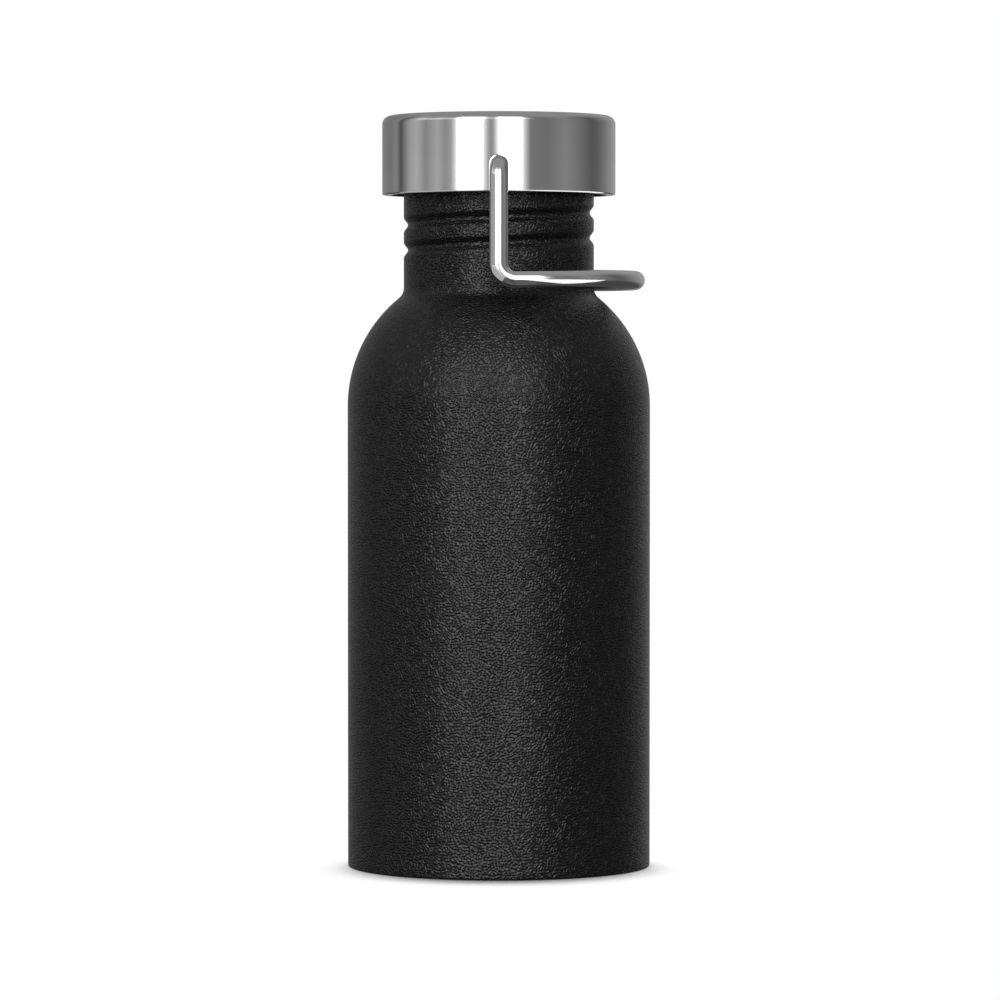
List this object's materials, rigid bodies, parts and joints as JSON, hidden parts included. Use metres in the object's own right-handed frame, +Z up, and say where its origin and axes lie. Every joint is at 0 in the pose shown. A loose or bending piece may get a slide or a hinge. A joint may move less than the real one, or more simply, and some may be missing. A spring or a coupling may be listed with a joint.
{
  "type": "insulated water bottle",
  "caption": "Double-walled steel drinking bottle with a rolled neck thread, a screw lid with an insulated plug, and a bent wire carrying bail pivoted in the lid.",
  "frame": {"origin": "centre of the bottle's underside, on the surface that it stands on", "axes": "+Z up along the bottle's axis; +X towards the loop of the hanging bail; the bail pivots along Y"},
  "size_m": [0.074, 0.074, 0.1835],
  "materials": {
    "coat": "black powder coat with a fine leathery wrinkle, semi-matt",
    "flask_steel": "satin stainless steel, spun inside",
    "lid_steel": "finely polished stainless steel with soft reflections",
    "wire_steel": "polished stainless steel wire",
    "spring_steel": "bare spring steel strip",
    "solder": "dull cast bead of sealing alloy",
    "getter_metal": "dark sintered metal pellet",
    "copper": "thin bright copper foil, slightly crinkled",
    "core_plastic": "moulded black polypropylene",
    "foam": "cream rigid insulating foam",
    "silicone": "translucent grey-white silicone, satin"
  },
  "bodies": {
    "bottle": {"outer_shell": "coat", "outer_base": "coat", "base_cap": "flask_steel", "vacuum_seal": "solder", "inner_flask": "flask_steel", "inner_base": "flask_steel", "radiation_foil": "copper", "getter": "getter_metal", "getter_clip": "spring_steel"},
    "seal": {"seal_ring": "silicone"},
    "lid": {"lid_shell": "lid_steel", "lid_core": "core_plastic", "lid_foam": "foam", "foam_cover": "core_plastic", "plug_plate": "lid_steel"},
    "bail": {"bail": "wire_steel"}
  },
  "joints": [
    {"name": "lid_rise", "type": "slide", "parent": "bottle", "child": "seal", "axis": [0, 0, 1], "range_m": [0, 0.0308]},
    {"name": "lid_turn", "type": "hinge", "parent": "seal", "child": "lid", "pos_m": [0, 0, 0.17], "axis": [0, 0, 1], "range_deg": [0, 1800]},
    {"name": "bail_swing", "type": "hinge", "parent": "lid", "child": "bail", "pos_m": [0, 0, 0.1709], "axis": [0, 1, 0], "range_deg": [-264, 7]}
  ],
  "couplings": [
    {"joint": "lid_rise", "follows": "lid_turn", "m_per_rad": 0.00097562}
  ]
}
